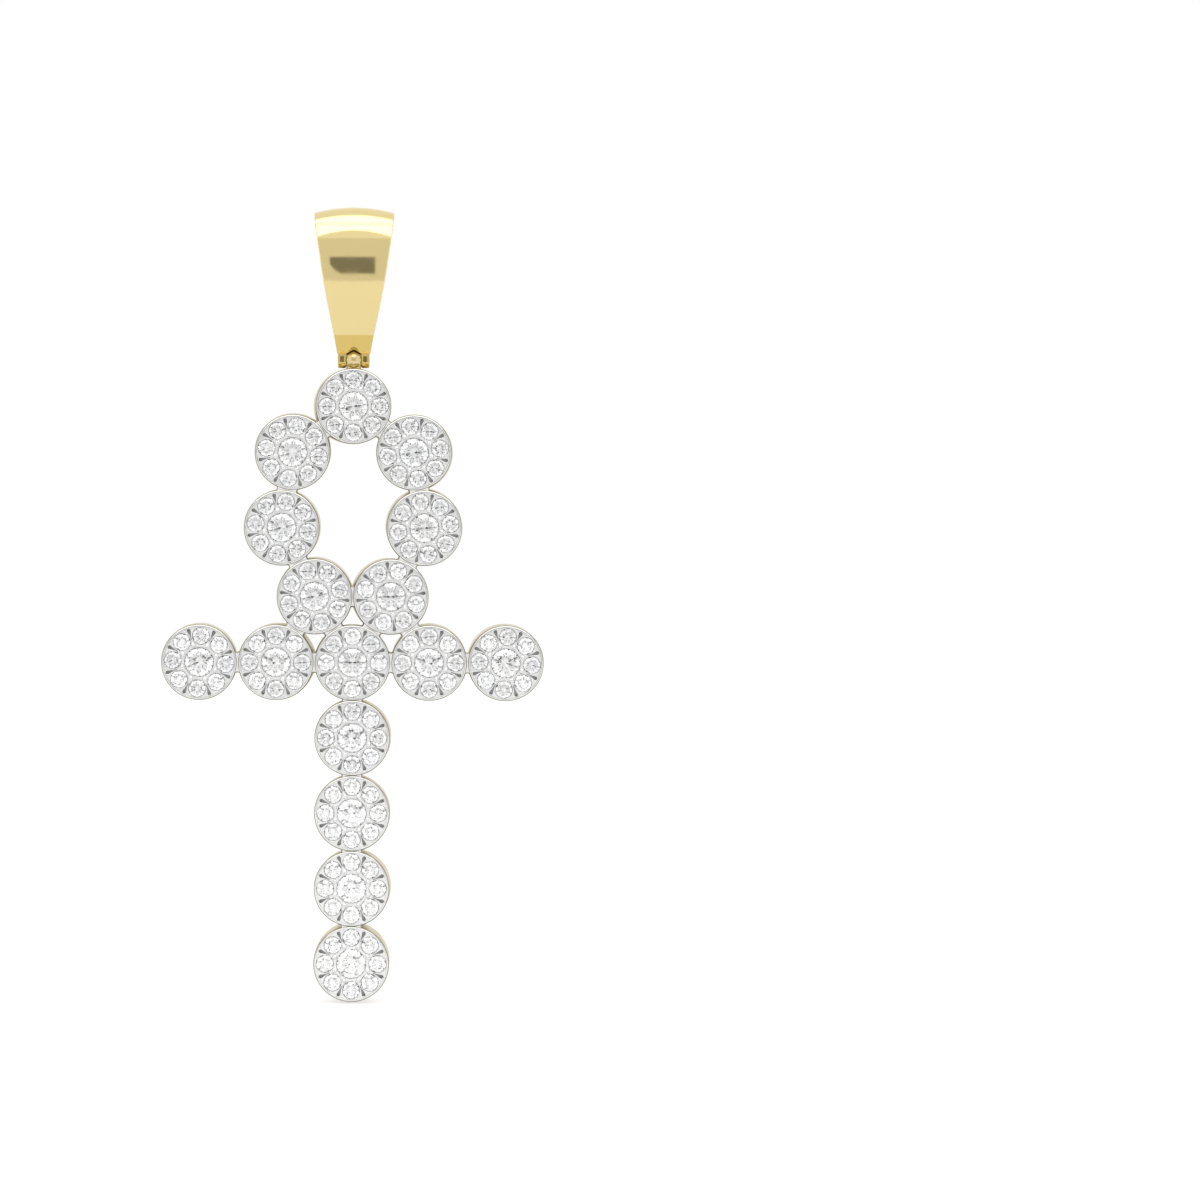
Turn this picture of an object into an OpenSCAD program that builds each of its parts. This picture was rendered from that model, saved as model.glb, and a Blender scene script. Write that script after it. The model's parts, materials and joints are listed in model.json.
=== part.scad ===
// Ankh pendant: sixteen round stone clusters in one soldered frame, swinging from a tapered bail.
// Millimetres. +Z is up, -Y is the front, and the origin is where a chain bears inside the bail.

/* [Stones] */
// Diameter of the stone in the middle of each cluster
center_d = 2.1; // [1.8:0.05:2.4]
// Diameter of the small stones around it
accent_d = 1.24; // [1.1:0.02:1.36]
// Space between the middle stone and the ring of small ones
stone_gap = 0.225; // [0.2:0.005:0.3]
// Play between a stone and its seat
seat_clearance = 0.025; // [0.02:0.005:0.04]
// How far a girdle sits below the plate's face
girdle_sink = 0.05; // [0.03:0.01:0.08]

/* [Clusters] */
// Width of the bright rim outside the small stones
rim_w = 0.17; // [0.15:0.01:0.35]
// Metal between a small stone's seat and the rim
seat_margin = 0.03; // [0.02:0.01:0.06]
// How far the rim stands above the plate that holds the stones
rim_h = 0.12; // [0.08:0.01:0.2]
// Thickness of the stone plate
plate_t = 1.2; // [1.15:0.05:1.5]
// Depth of a cluster's cup from its rim to its back edge
cup_depth = 2.5; // [2:0.1:3.2]
// Thickness of the cup's side wall behind the plate
cup_wall = 0.45; // [0.4:0.01:0.7]
// Radius of the rounded prongs between the stones
bead_r = 0.19; // [0.16:0.01:0.2]
// How far a prong's middle lies below the plate's face
bead_sink = 0.04; // [0.02:0.01:0.08]
// Width of the cut between two small stones, at its outer end
cut_w = 0.24; // [0.16:0.01:0.26]
// Depth of that cut below the plate's face
cut_depth = 0.45; // [0.3:0.05:0.7]

/* [Frame] */
// Space between neighbours in the loop
loop_gap = 0.02; // [0.01:0.01:0.1]
// Space between neighbours in the crossbar
bar_gap = 0.05; // [0.01:0.01:0.1]
// How far neighbours in the stem run into each other
stem_overlap = 0.05; // [0.02:0.01:0.1]
// Clusters on each side of the middle one in the crossbar
arm_count = 2; // [1:1:3]
// Clusters in the stem
stem_count = 4; // [2:1:6]
// Direction of the loop's second link, from the crossbar
second_link = 64.2; // [60:0.1:70]
// Direction of the loop's third link, from the crossbar
third_link = 98; // [92:0.5:102]
// Width of the solder bars between clusters
web_w = 1.5; // [1:0.1:1.8]
// Depth of the solder bars, front to back
web_t = 1.5; // [1:0.1:1.8]
// How far the front of a solder bar lies behind the rims
web_sink = 0.25; // [0.2:0.05:0.5]

/* [Bail] */
// Height from the hinge's axis to the top of the fold
bail_h = 11.06; // [9.5:0.02:13]
// Width at the top of the fold
bail_top_w = 5.84; // [4.8:0.02:7]
// Width at the lower end
bail_end_w = 2.4; // [2.3:0.05:3]
// Depth where the bail is deepest, front to back
bail_depth = 5.2; // [4.4:0.1:6.4]
// Thickness of the strip
bail_t = 0.8; // [0.7:0.05:1]
// How much higher the strip's middle is than its edges
bail_crown = 0.4; // [0.2:0.05:0.5]
// Thickness of the solid metal above the ears, where the two legs meet
bail_root = 1.3; // [1:0.1:1.8]
// Height above the hinge's axis where each leg's foot turns in
foot_h = 1.75; // [1.5:0.05:2.2]
// Tilt of each leg just above its foot
leg_tilt = 24; // [18:1:26]
// Tilt of the foot
foot_tilt = 41; // [34:1:44]

/* [Hinge] */
// Radius of the bar between the ears
bar_r = 0.25; // [0.2:0.01:0.27]
// Play between the bar and the eye
bar_clearance = 0.04; // [0.02:0.01:0.06]
// Radius of the ears' round ends
ear_r = 0.54; // [0.5:0.01:0.56]
// How far the strip's edges stand out beyond the ears
ear_inset = 0.05; // [0.03:0.01:0.1]
// Height of the hinge's axis above the top cluster
hinge_rise = 0.62; // [0.6:0.01:0.8]
// Width of the eye between the ears
eye_w = 0.92; // [0.8:0.02:1]
// Radius of the eye's ridge
eye_peak = 0.74; // [0.68:0.01:0.8]
// Play between the eye and the bail around it
eye_clearance = 0.06; // [0.05:0.01:0.1]
// Distance of the frame's mid-depth behind the hinge, so that it hangs upright
hang_offset = 0.19; // [0.1:0.01:0.4]

/* [Hidden] */
$fn = 64;

// Main facets around a cut stone, and the turn between two of them
FACETS = 8;
FACET = 360 / FACETS;
// Proportions of a cut stone, as shares of its diameter, and its facet angles
TABLE = 0.57;
GIRDLE = 0.03;
CROWN_ANGLE = 34;
PAVILION_ANGLE = 41;
STAR_REACH = 0.5;
LOWER_REACH = 0.77;
// Share of a stone's radius that its open hole behind the seat has
AZURE = 0.5;
// Share of a prong's radius that its middle stands back from the middle stone, and of the ears' depth that
// the eye's neck has
PRONG_BACK = 0.7;
NECK_SHARE = 0.7;
// Overlap that makes cuts run past a face
OVER = 0.3;
GOLDEN_ANGLE = 137.5;

ring_r = center_d / 2 + stone_gap + accent_d / 2;
disc_r = ring_r + accent_d / 2 + seat_clearance + seat_margin + rim_w;
disc_d = 2 * disc_r;
// Least space that neighbouring small stones keep
accent_space = 0.1;
accents = floor(180 / asin((accent_d + accent_space) / (2 * ring_r)));
accent_step = 360 / accents;
plate_z = -rim_h;
plate_back = plate_z - plate_t;
bead_ring = center_d / 2 + stone_gap / 2 + bead_r * PRONG_BACK;

loop_pitch = disc_d + loop_gap;
bar_pitch = disc_d + bar_gap;
stem_pitch = disc_d - stem_overlap;

// The loop's right-hand links are one pitch long. The last direction brings the chain back to the middle.
first_link = 60;
last_link = acos(-(cos(first_link) + cos(second_link) + cos(third_link)));
links = [first_link, second_link, third_link, last_link];
function loop_place(n) =
    n == 0 ? [0, 0] : loop_place(n - 1) + loop_pitch * [cos(links[n - 1]), sin(links[n - 1])];
function flip(p) = [-p[0], p[1]];

// Place of each cluster from the middle of the crossbar, across and up, and the turn of its ring of stones
function spot(place, turn) = [place[0], place[1], turn];
lower_turn = -16;
side_turn = 9;
upper_turn = 9;
loop_turns = [0, lower_turn, side_turn, upper_turn, 0];
loop_right = [for (n = [1:4]) spot(loop_place(n), loop_turns[n])];
loop_left = [for (n = [1:3]) spot(flip(loop_place(n)), -loop_turns[n])];
arms = [for (side = [-1, 1], n = [1:arm_count]) spot([side * n * bar_pitch, 0], n == 1 ? 0 : -4)];
stem = [for (n = [1:stem_count]) spot([0, -n * stem_pitch], 0)];
clusters = concat([[0, 0, 0]], loop_right, loop_left, arms, stem);
top_z = loop_place(4)[1];

// Neighbours near enough to be soldered together
NEAR = 1.05;
reach = disc_d * NEAR;
// Distance from a cluster's middle to the end of a solder bar, between the stones' bores and the rim
web_end = disc_r - rim_w - seat_margin / 2;
solder_pairs = [
    for (a = [0:len(clusters) - 2], b = [a + 1:len(clusters) - 1])
        let (d = norm([clusters[a][0] - clusters[b][0], clusters[a][1] - clusters[b][1]]))
            if (d < reach) [clusters[a], clusters[b], d]
];

// The bail's side view has a drop's round top, with half-depth reach * sin(t) * sin(t / 2): its highest place
// is at t = 180 and its widest where cos(t) = -1/3. The legs below lean in more and more down to their feet.
DROP_TURN = acos(-1 / 3);
DROP_WIDEST = sin(DROP_TURN) * sin(DROP_TURN / 2);
tip_z = -ear_r / 2;
drop_h = bail_h - tip_z;
drop_reach = bail_depth / 2 / DROP_WIDEST;
hollow_tip_z = ear_r + bail_root;
hollow_h = bail_h - bail_t - hollow_tip_z;
hollow_reach = (bail_depth / 2 - bail_t) / DROP_WIDEST;
function drop_y(t, reach) = reach * sin(t) * sin(t / 2);
function drop_z(t, tip, height) = tip + height * (1 - cos(t)) / 2;
widest_z = drop_z(DROP_TURN, tip_z, drop_h);
leg_h = widest_z - foot_h;
// Height of the strip's flat lower end, hidden in the ears
foot_low = ear_r * 0.6;
// Rows of points up one side of the strip, and faces across it
foot_levels = 3;
leg_levels = 6;
top_levels = 8;
levels = foot_levels + leg_levels + top_levels;
across = 6;
slot_x = eye_w / 2 + eye_clearance;
eye_shoulder = ear_r - eye_clearance;

// From the origin down to the hinge's axis, and on to the middle of the crossbar
hinge_z = bail_t - bail_h;
frame_z = hinge_z - hinge_rise - disc_r - top_z;

function two_digits(n) = str(n < 10 ? "0" : "", n);
stone_names = [for (n = [1:len(clusters)]) str("center_stone_", two_digits(n))];

// A ring of points at one height
function ring(n, r, z, start = 0) =
    [for (k = [0:n - 1]) let (turn = start + k * 360 / n) [r * cos(turn), r * sin(turn), z]];

// Round brilliant cut with its girdle's top at z = 0, table up
module brilliant(d) {
    r = d / 2;
    table_r = r * TABLE / cos(FACET / 2);
    girdle = d * GIRDLE;
    table_z = (r - table_r) * tan(CROWN_ANGLE);
    star_r = table_r * cos(FACET / 2) * (1 - STAR_REACH) + r * STAR_REACH;
    star_z = (r - star_r * cos(FACET / 2)) * tan(CROWN_ANGLE);
    low_r = r * (1 - LOWER_REACH);
    low_z = -girdle - (r - low_r * cos(FACET / 2)) * tan(PAVILION_ANGLE);
    points = concat(
        ring(FACETS, table_r, table_z),
        ring(FACETS, star_r, star_z, FACET / 2),
        ring(2 * FACETS, r, 0),
        ring(2 * FACETS, r, -girdle),
        ring(FACETS, low_r, low_z, FACET / 2),
        [[0, 0, -girdle - r * tan(PAVILION_ANGLE)]]
    );
    function table(k) = k % FACETS;
    function star(k) = FACETS + k % FACETS;
    function upper(k) = 2 * FACETS + k % (2 * FACETS);
    function lower(k) = 4 * FACETS + k % (2 * FACETS);
    function low(k) = 6 * FACETS + k % FACETS;
    culet = 7 * FACETS;
    last = FACETS - 1;
    faces = concat(
        [[for (k = [last:-1:0]) table(k)]],
        [for (k = [0:last]) [table(k), table(k + 1), star(k)]],
        [for (k = [0:last]) [table(k + 1), star(k + 1), upper(2 * k + 2), star(k)]],
        [for (k = [0:last]) [star(k), upper(2 * k + 1), upper(2 * k)]],
        [for (k = [0:last]) [star(k), upper(2 * k + 2), upper(2 * k + 1)]],
        [for (k = [0:2 * FACETS - 1]) [upper(k), upper(k + 1), lower(k + 1), lower(k)]],
        [for (k = [0:last]) [lower(2 * k), lower(2 * k + 1), low(k)]],
        [for (k = [0:last]) [lower(2 * k + 1), lower(2 * k + 2), low(k)]],
        [for (k = [0:last]) [lower(2 * k + 2), low(k + 1), culet, low(k)]]
    );
    polyhedron(points, faces);
}

// Single cut for the small stones: a table, eight crown facets and eight below
module single_cut(d) {
    r = d / 2;
    girdle = d * GIRDLE;
    points = concat(
        ring(FACETS, r * TABLE, r * (1 - TABLE) * tan(CROWN_ANGLE)),
        ring(FACETS, r, 0),
        ring(FACETS, r, -girdle),
        [[0, 0, -girdle - r * tan(PAVILION_ANGLE)]]
    );
    last = FACETS - 1;
    function at(level, k) = level * FACETS + k % FACETS;
    faces = concat(
        [[for (k = [last:-1:0]) k]],
        [for (g = [0:1], k = [0:last]) [at(g, k), at(g, k + 1), at(g + 1, k + 1), at(g + 1, k)]],
        [for (k = [0:last]) [at(2, k), at(2, k + 1), 3 * FACETS]]
    );
    polyhedron(points, faces);
}

// The hole that a stone of diameter d drops into: a straight mouth, a cone under the girdle and an open back
module seat(d) {
    r = d / 2 + seat_clearance;
    azure_r = AZURE * d / 2;
    ledge = -d * GIRDLE - seat_clearance;
    rotate_extrude()
        polygon([
            [0, rim_h + girdle_sink + OVER],
            [r, rim_h + girdle_sink + OVER],
            [r, ledge],
            [azure_r, ledge - (r - azure_r) * tan(PAVILION_ANGLE)],
            [azure_r, -plate_t - OVER],
            [0, -plate_t - OVER]
        ]);
}

// The cut between two small stones, narrow inside and ending in a round pit near the rim
module pave_cut() {
    inner = ring_r - accent_d / 4;
    outer = disc_r - rim_w - cut_w * 0.75;
    narrow = cut_w / 4;
    wide = cut_w * 0.8;
    translate([0, 0, plate_z - cut_depth])
        linear_extrude(cut_depth + OVER)
            polygon([[inner, -narrow / 2], [outer, -wide / 2], [outer, wide / 2], [inner, narrow / 2]]);
    translate([outer, 0, plate_z - cut_depth])
        cylinder(r = cut_w / 2, h = cut_depth + OVER);
}

// Side outline of a cup, turned about its axis: bevelled rim, straight side, hollow back
module cup_shell() {
    bevel = rim_w / 2;
    crease = rim_w / 10;
    back_bevel = rim_w / 2;
    color("gold")
        rotate_extrude()
            polygon([
                [0, plate_z],
                [disc_r - rim_w, plate_z],
                [disc_r - rim_w, -crease],
                [disc_r - rim_w + crease, 0],
                [disc_r - bevel, 0],
                [disc_r - bevel / 3, -bevel / 3],
                [disc_r, -bevel],
                [disc_r, -cup_depth + back_bevel],
                [disc_r - back_bevel, -cup_depth],
                [disc_r - cup_wall, -cup_depth],
                [disc_r - cup_wall, plate_back],
                [0, plate_back]
            ]);
}

// One cluster's metal, front up
module cup(turn) {
    difference() {
        cup_shell();
        translate([0, 0, plate_z - girdle_sink])
            seat(center_d);
        for (k = [0:accents - 1])
            rotate(turn + k * accent_step) {
                translate([ring_r, 0, plate_z - girdle_sink])
                    seat(accent_d);
                rotate(accent_step / 2)
                    pave_cut();
            }
    }
    color("whitesmoke")
        for (k = [0:accents - 1])
            rotate(turn + (k + 0.5) * accent_step)
                translate([bead_ring, 0, plate_z - bead_sink])
                    rotate([0, 90, 0])
                        sphere(bead_r);
}

// A solder bar from the first cluster towards the second, d apart
module web(a, b, d) {
    length = d - 2 * web_end;
    translate((a + b) / 2)
        rotate(atan2(b[1] - a[1], b[0] - a[0]))
            translate([-length / 2, -web_w / 2, -web_sink - web_t])
                cube([length, web_w, web_t]);
}

// Turns what is drawn front up, in the crossbar's own place, to stand in the pendant
module stand() {
    translate([0, hang_offset - cup_depth / 2, frame_z])
        rotate([90, 0, 0])
            children();
}

// The eye on the top cluster that the bail's bar runs through: a wheel with a ridge, on a short neck
module eye() {
    neck_d = 2 * ear_r * NECK_SHARE;
    color("gold")
        translate([0, 0, hinge_z])
            difference() {
                union() {
                    rotate([0, 90, 0])
                        rotate_extrude()
                            polygon([
                                [0, -eye_w / 2],
                                [eye_shoulder, -eye_w / 2],
                                [eye_peak, 0],
                                [eye_shoulder, eye_w / 2],
                                [0, eye_w / 2]
                            ]);
                    translate([-eye_w / 2, -neck_d / 2, -hinge_rise - OVER])
                        cube([eye_w, neck_d, hinge_rise + OVER]);
                }
                rotate([0, 90, 0])
                    cylinder(r = bar_r + bar_clearance, h = 2 * eye_w, center = true);
            }
}

module frame() {
    stand() {
        for (c = clusters)
            translate([c[0], c[1], 0])
                cup(c[2]);
        color("gold")
            for (p = solder_pairs)
                web([p[0][0], p[0][1], 0], [p[1][0], p[1][1], 0], p[2]);
    }
    eye();
}

module center_stone(n) {
    color("white")
        stand()
            translate([clusters[n][0], clusters[n][1], plate_z - girdle_sink])
                rotate(n * GOLDEN_ANGLE)
                    brilliant(center_d);
}

module accent_stones() {
    color("white")
        stand()
            for (n = [0:len(clusters) - 1], k = [0:accents - 1])
                translate([clusters[n][0], clusters[n][1], plate_z - girdle_sink])
                    rotate(clusters[n][2] + k * accent_step)
                        translate([ring_r, 0, 0])
                            rotate((n * accents + k) * GOLDEN_ANGLE)
                                single_cut(accent_d);
}

// Half the bail's width at height z above the axis
function half_width(z) =
    let (t = max(0, min(1, (z - ear_r) / (bail_h - ear_r))))
        (bail_end_w + (bail_top_w - bail_end_w) * (t + sin(90 * t)) / 2) / 2;

// Places on one side of the bail's side view: half-depth, height, and the outward normal's angle above level
function foot_place(u) =
    let (z = foot_low + (foot_h - foot_low) * u)
        [leg_place(1)[0] - (foot_h - z) * tan(foot_tilt), z, -foot_tilt];
function leg_place(s) =
    let (lean = -ln(cos(leg_tilt * s)) * leg_h / (leg_tilt * PI / 180))
        [bail_depth / 2 - lean, widest_z - leg_h * s, -leg_tilt * s];
function top_place(t) =
    let (
        run_y = drop_reach * (cos(t) * sin(t / 2) + sin(t) * cos(t / 2) / 2),
        run_z = drop_h * sin(t) / 2
    ) [drop_y(t, drop_reach), drop_z(t, tip_z, drop_h), atan2(-run_y, run_z)];

// A row of points across one side of the strip at a place of its side view, crowned
function strip_row(place, side) =
    let (w = half_width(place[1])) [
        for (j = [0:across])
            let (
                x = w * (2 * j / across - 1),
                sink = bail_crown * pow(2 * x / bail_top_w, 2)
            ) [x, side * (place[0] - sink * cos(place[2])), place[1] - sink * sin(place[2])]
    ];

// The bail's outside as one closed shape, with its flat tip hidden in the ears
module outside() {
    row = across + 1;
    places = concat(
        [for (k = [0:foot_levels - 1]) foot_place(k / foot_levels)],
        [for (k = [0:leg_levels - 1]) leg_place(1 - k / leg_levels)],
        [for (k = [0:top_levels - 1]) top_place(DROP_TURN + (180 - DROP_TURN) * k / top_levels)]
    );
    top_row = [
        for (j = [0:across])
            let (x = bail_top_w * (j / across - 0.5)) [x, 0, bail_h - bail_crown * pow(2 * x / bail_top_w, 2)]
    ];
    points = concat(
        [for (place = places) each strip_row(place, -1)],
        top_row,
        [for (place = places) each strip_row(place, 1)]
    );
    function fore(k, j) = k * row + j;
    function aft(k, j) = (k == levels ? k : levels + 1 + k) * row + j;
    faces = concat(
        [for (k = [0:levels - 1], j = [0:across - 1]) [fore(k, j), fore(k + 1, j), fore(k + 1, j + 1)]],
        [for (k = [0:levels - 1], j = [0:across - 1]) [fore(k, j), fore(k + 1, j + 1), fore(k, j + 1)]],
        [for (k = [0:levels - 1], j = [0:across - 1]) [aft(k, j), aft(k + 1, j + 1), aft(k + 1, j)]],
        [for (k = [0:levels - 1], j = [0:across - 1]) [aft(k, j), aft(k, j + 1), aft(k + 1, j + 1)]],
        [for (j = [0:across - 1]) [fore(0, j), fore(0, j + 1), aft(0, j + 1), aft(0, j)]],
        [for (k = [0:levels - 2]) [fore(k, 0), aft(k, 0), aft(k + 1, 0), fore(k + 1, 0)]],
        [for (k = [0:levels - 2]) [aft(k, across), fore(k, across), fore(k + 1, across), aft(k + 1, across)]],
        [[fore(levels - 1, 0), aft(levels - 1, 0), fore(levels, 0)]],
        [[aft(levels - 1, across), fore(levels - 1, across), fore(levels, across)]]
    );
    polyhedron(points, faces);
}

// The space inside the strip, open at both sides
module hollow() {
    steps = 32;
    rotate([90, 0, 90])
        translate([0, 0, -bail_top_w])
            linear_extrude(2 * bail_top_w)
                polygon([
                    for (k = [0:steps - 1])
                        let (t = 360 * k / steps)
                            [drop_y(t, hollow_reach), drop_z(t, hollow_tip_z, hollow_h)]
                ]);
}

// The slot that the eye turns in, open below, with a pitched roof
module slot() {
    // The roof slants, so it needs a little more height for the same play
    slant = atan2(eye_peak - eye_shoulder, slot_x);
    roof = eye_clearance / cos(slant);
    rotate([90, 0, 0])
        translate([0, 0, -bail_depth])
            linear_extrude(2 * bail_depth)
                polygon([
                    [-slot_x, -2 * ear_r],
                    [slot_x, -2 * ear_r],
                    [slot_x, eye_shoulder + roof],
                    [0, eye_peak + roof],
                    [-slot_x, eye_shoulder + roof]
                ]);
}

module bail() {
    ears_w = bail_end_w - 2 * ear_inset;
    color("gold")
        translate([0, 0, hinge_z]) {
            difference() {
                union() {
                    difference() {
                        outside();
                        hollow();
                    }
                    rotate([0, 90, 0])
                        cylinder(r = ear_r, h = ears_w, center = true);
                }
                slot();
            }
            rotate([0, 90, 0])
                cylinder(r = bar_r, h = ears_w / 2 + slot_x, center = true);
        }
}

bail();
frame();
accent_stones();
for (n = [0:len(clusters) - 1])
    center_stone(n);
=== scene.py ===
import json
import math

import bmesh
import bpy
from mathutils import Matrix, Vector


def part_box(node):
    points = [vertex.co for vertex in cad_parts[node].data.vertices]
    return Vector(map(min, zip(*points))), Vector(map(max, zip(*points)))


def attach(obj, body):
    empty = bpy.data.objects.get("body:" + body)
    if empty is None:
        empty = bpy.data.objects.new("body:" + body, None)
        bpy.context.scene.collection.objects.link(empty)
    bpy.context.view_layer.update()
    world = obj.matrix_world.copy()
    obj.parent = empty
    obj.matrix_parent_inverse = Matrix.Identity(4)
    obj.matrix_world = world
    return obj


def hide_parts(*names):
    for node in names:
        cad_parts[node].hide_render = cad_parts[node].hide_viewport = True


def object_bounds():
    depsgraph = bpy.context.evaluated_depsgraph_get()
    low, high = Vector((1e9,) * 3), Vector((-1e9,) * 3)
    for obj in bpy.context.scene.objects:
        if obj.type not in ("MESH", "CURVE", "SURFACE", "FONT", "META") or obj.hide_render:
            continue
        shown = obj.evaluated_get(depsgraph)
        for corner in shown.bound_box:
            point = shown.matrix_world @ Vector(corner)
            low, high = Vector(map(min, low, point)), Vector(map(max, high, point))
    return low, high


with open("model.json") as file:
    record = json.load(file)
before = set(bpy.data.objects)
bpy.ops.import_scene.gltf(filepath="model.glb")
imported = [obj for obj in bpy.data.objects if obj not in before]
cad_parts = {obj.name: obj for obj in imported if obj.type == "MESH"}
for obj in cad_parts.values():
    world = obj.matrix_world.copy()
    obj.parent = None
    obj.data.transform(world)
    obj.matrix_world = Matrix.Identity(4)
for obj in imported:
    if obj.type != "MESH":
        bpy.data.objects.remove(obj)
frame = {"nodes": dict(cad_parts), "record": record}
cad_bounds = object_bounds()

MM = 0.001

# Clusters, in millimetres: the main sizes as in the part's source, and edges that only this script has
CENTER_D = 2.1
ACCENT_D = 1.24
ACCENTS = 8
STONE_GAP = 0.225
SEAT_CLEARANCE = 0.025
GIRDLE_SINK = 0.05
SEAT_MARGIN = 0.03
SEAT_LIP = -0.044
RIM_W = 0.17
RIM_H = 0.12
PLATE_T = 1.2
CUP_DEPTH = 2.5
CUP_WALL = 0.45
BEAD_R = 0.19
BEAD_SINK = 0.04
BEAD_OUT = 0.7
CUT_W = 0.27
CUT_WAIST_W = 0.07
CUT_FOOT_W = 0.05
CUT_DEPTH = 0.45
CUT_END_GAP = 0.19
# Where a cut starts and where it is narrowest, as shares of the ring's radius
CUT_START_SHARE = 0.88
CUT_WAIST_SHARE = 1.02
EDGE_R = 0.02
RIM_ROUND = 0.16
RIM_SHELF = 0.03
RIM_CHAMFER = 0.01
# How far the rim reaches down beside the plate, and the wall's inside up behind it
RIM_FOOT = 0.2
WALL_REACH = 0.3
# Rounding of the wall's back edge, inwards and up
BACK_EDGE = [(0, 0.12), (0.03, 0.04), (0.1, 0)]
BACK_EDGE_IN = 0.06
SEAT_WALL = 0.04
SEAT_SLOPE = 0.02
OVERLAP = 0.01
RING_R = CENTER_D / 2 + STONE_GAP + ACCENT_D / 2
DISC_R = RING_R + ACCENT_D / 2 + SEAT_CLEARANCE + SEAT_MARGIN + RIM_W
BEAD_RING = CENTER_D / 2 + STONE_GAP / 2 + BEAD_R * BEAD_OUT
STEP = 360 / ACCENTS
CUT_START = RING_R * CUT_START_SHARE
CUT_WAIST = RING_R * CUT_WAIST_SHARE
CUT_STOP = DISC_R - RIM_W - CUT_END_GAP
PLATE_Z = -RIM_H
GIRDLE_Z = PLATE_Z - GIRDLE_SINK
GOLDEN_ANGLE = 137.5
STONE_LEAN = 3

# Steps of the round forms
CUP_STEPS = 96
ROUND_STEPS = 6
SEAT_STEPS = 28
BEAD_STEPS = (14, 9)
CUT_END_STEPS = 8
HINGE_STEPS = 64
BAR_STEPS = 32

# Material slots of the shells, bars and eye, after their pale gold, and of the faces, after their satin
POLISHED = 1
BAR_FRONT = 2
EYE_GOLD = 3
# The faces' slot for the painted shade on the cut floors
SHADED_CUT = 2
# Rows of the wall's rounding that are still plated white
WHITE_ROWS = 2

# Proportions of a round brilliant, as shares of its diameter, and its facet angles
TABLE = 0.57
GIRDLE = 0.03
CROWN_ANGLE = 34
PAVILION_ANGLE = 41
STAR_REACH = 0.5
LOWER_REACH = 0.77
FACETS = 8
# The open hole behind a stone, as a share of its diameter
AZURE = 0.5

# Bail and hinge, in millimetres from the hinge's axis
BAIL_H = 11.06
BAIL_TOP_W = 5.84
BAIL_END_W = 2.4
BAIL_DEPTH = 5.2
BAIL_T = 0.8
BAIL_CROWN = 0.4
BAIL_ROOT = 1.3
BAIL_EDGE = 0.09
BAIL_SHARP = 40
FOOT_H = 1.75
FOOT_BEND = 0.15
FOOT_DIP = 0.02
FOOT_SWELL = 0.13
FOOT_MIDDLE = 0.5
LEG_TILT = 24
FOOT_TILT = 41
EAR_R = 0.54
EAR_ROUND_R = 0.57
EAR_EDGE = 0.13
EAR_SQUARE = 8
EAR_CORNER = 1.06
EAR_RISE = 1.9
EAR_TOP = 0.53
EAR_INSET = 0.05
ROOF_PEAK = 0.72
ROOF_SIDE = 0.5
RIDGE_PEAK = 0.84
RIDGE_SIDE = 0.64
BAR_R = 0.25
BAR_INSET = 0.1
EYE_W = 0.92
EYE_PEAK = 0.78
EYE_SHOULDER = 0.56
EYE_CLEARANCE = 0.06
EYE_FILL = 0.8
EYE_HOLE_GAP = 0.04
EYE_HOLE_EDGE = 0.03
EYE_EDGE = 0.05
RIDGE_PLACES = (-0.4, -0.06, 0, 0.06, 0.4)
RIDGE_BLUNT = 0.06
NECK_TOP = 0.2
NECK_SINK = 0.02
NECK_T = EAR_R * 0.7
NECK_FLARE_W = 0.12
NECK_FLARE_T = 0.1
NECK_EDGE = 0.08
NECK_ROWS = 6
HINGE_RISE = 0.62
SLOT_X = EYE_W / 2 + EYE_CLEARANCE

# Solder bars between neighbouring cups, in millimetres
WEB_W = 1.5
WEB_FRONT = -0.03
WEB_BACK = -1.75
WEB_FLARE = 0.16
WEB_DIP = 0.06
WEB_EDGE = 0.1
WEB_COLUMNS = 9
WEB_PLACES = [-1, -0.5, 0, 0.5, 1]
WEB_SINK = 0.13
WEB_END = DISC_R - WEB_SINK
# Cups no further apart than this share of their touching distance are soldered
NEIGHBOUR_REACH = 1.05

# The bail's side view, as in the part's source
DROP_TURN = math.acos(-1 / 3)
DROP_WIDEST = math.sin(DROP_TURN) * math.sin(DROP_TURN / 2)
DROP_TIP = -EAR_R / 2
DROP_H = BAIL_H - DROP_TIP
DROP_REACH = BAIL_DEPTH / 2 / DROP_WIDEST
WIDEST_Z = DROP_TIP + DROP_H * 2 / 3
LEG_ROWS = 16
TOP_ROWS = 24
LEG_STEP = 0.01
# Columns across half the strip: close together where the arch meets its foot
SLOT_SHARE = SLOT_X / (BAIL_END_W / 2)
SLOT_STEP = 0.01
HALF_COLUMNS = [-1, -0.86, -0.72, -0.58, -SLOT_SHARE - SLOT_STEP, -SLOT_SHARE + SLOT_STEP, -0.3, -0.15]

# Turns of the rings of small stones, in degrees, in the order of the middle stones
RING_TURNS = [0, -16, 9, 9, 0, 16, -9, -9, 0, -4, 0, -4, 0, 0, 0, 0]

# How far each cup's back shows past its face, across and up, in pixels of the photograph. Set one
# by one against each cup's outline there
BACK_PX = [
    (-0.5, 0), (-2, 0.6), (-0.6, 2.4), (1.8, 0.2), (-2.4, 1), (0.5, 1.6), (1.1, 1.3), (0.5, 2.3),
    (2.4, 1), (0, 0.5), (0.4, 1.1), (0, 0.8), (2, 0.2), (1.3, -0.7), (2.3, -0.5), (1, 0.6),
]

# The photograph's frame
FRAME_PX = 1200
PX_PER_MM = 13.88
AXIS_PX = (353, 530)
TOP_PX = 206
CAMERA_DISTANCE = 230
LEAN_DEG = -0.25
SENSOR_MM = 36
CLIP_START = 0.001

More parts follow.
